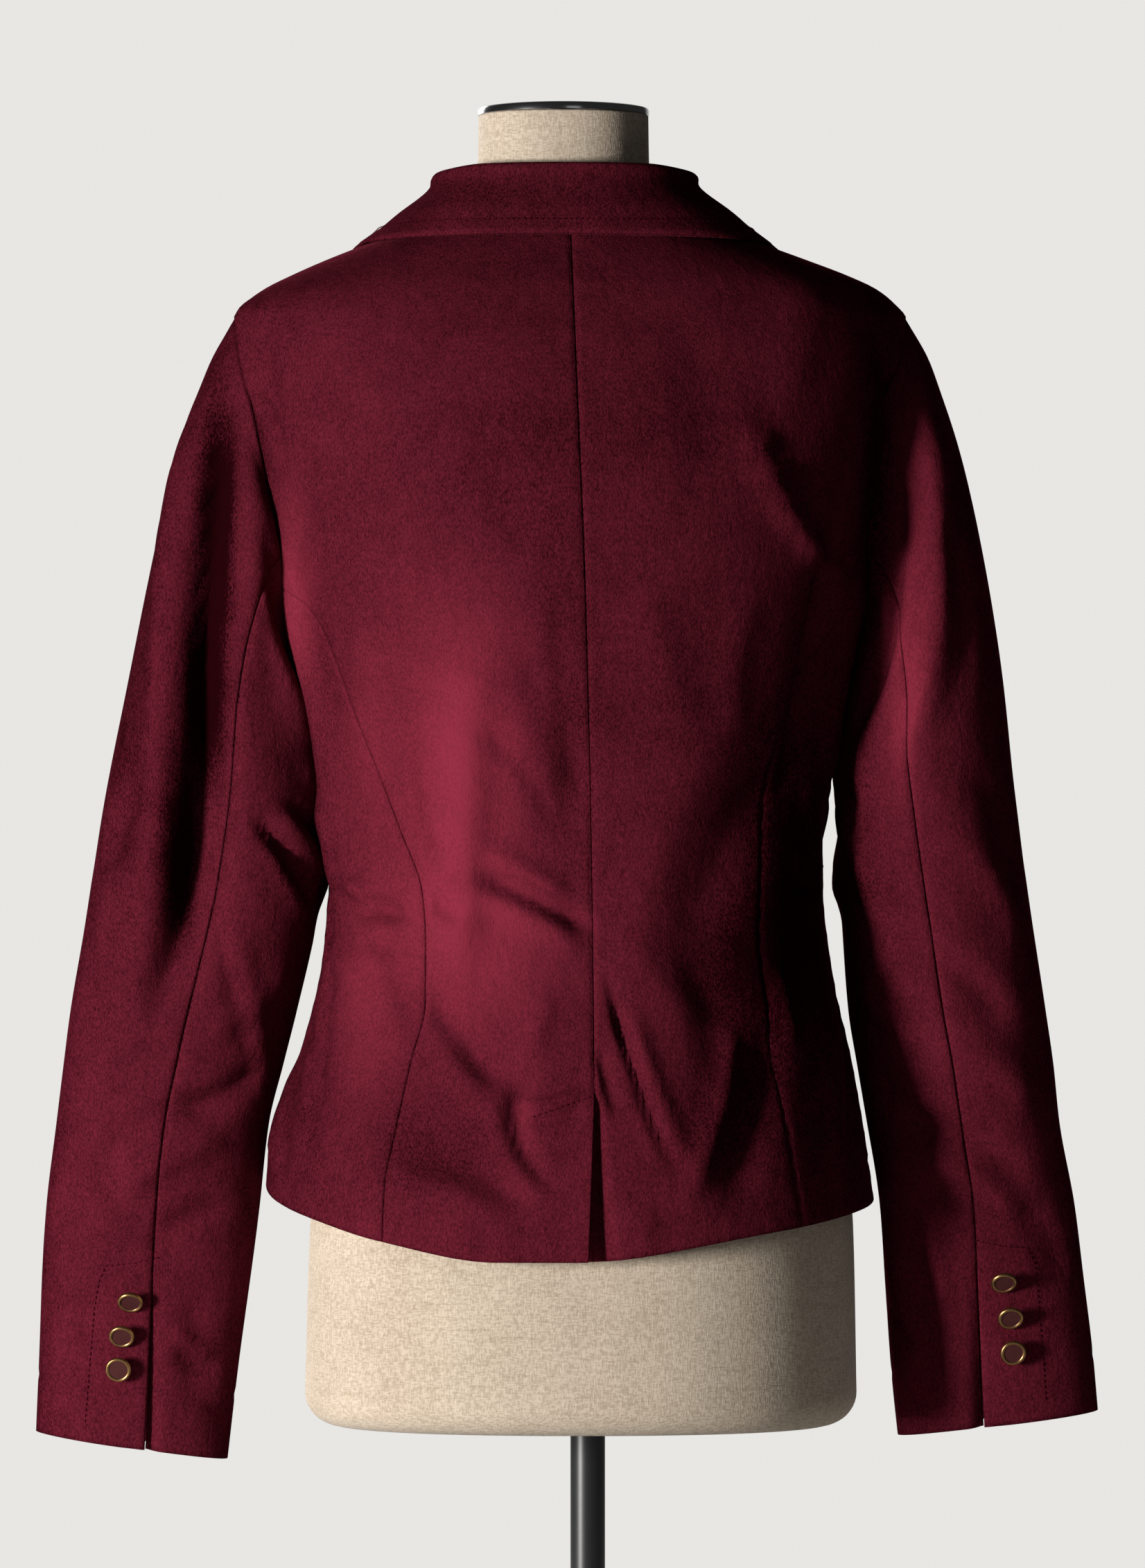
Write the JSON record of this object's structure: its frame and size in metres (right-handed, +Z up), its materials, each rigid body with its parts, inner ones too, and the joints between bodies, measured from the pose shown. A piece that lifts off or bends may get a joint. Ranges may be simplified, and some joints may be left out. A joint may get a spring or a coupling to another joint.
{
  "type": "fitted blazer on a limbless dress form with a round stand",
  "caption": "Fitted hip-length velvet blazer with turned collar, two-piece sleeves and buttoned cuffs, shown on a linen dress form with pole and round base.",
  "frame": {"origin": "centre of the base plate's underside, on the floor below the pole", "axes": "+Z up along the pole, the garment's front faces -Y, +X to the wearer's left"},
  "size_m": [0.616, 0.3, 0.979],
  "materials": {
    "velvet": "matte",
    "linen": "matte",
    "dark_chrome": "polished",
    "satin_black": "satin",
    "old_brass": "satin"
  },
  "bodies": {
    "root": {"back_left": "velvet", "side_back_left": "velvet", "front_left": "velvet", "lapel_left": "velvet", "top_sleeve_left": "velvet", "under_sleeve_left": "velvet", "back_right": "velvet", "side_back_right": "velvet", "front_right": "velvet", "lapel_right": "velvet", "top_sleeve_right": "velvet", "under_sleeve_right": "velvet", "collar": "velvet", "cuff_button_left_1": "old_brass", "cuff_button_left_2": "old_brass", "cuff_button_left_3": "old_brass", "cuff_button_right_1": "old_brass", "cuff_button_right_2": "old_brass", "cuff_button_right_3": "old_brass", "front_button_1": "old_brass", "front_button_2": "old_brass", "form_torso": "linen", "neck_cap": "dark_chrome", "pole": "satin_black", "pole_socket": "satin_black", "base_plate": "satin_black"}
  },
  "joints": []
}
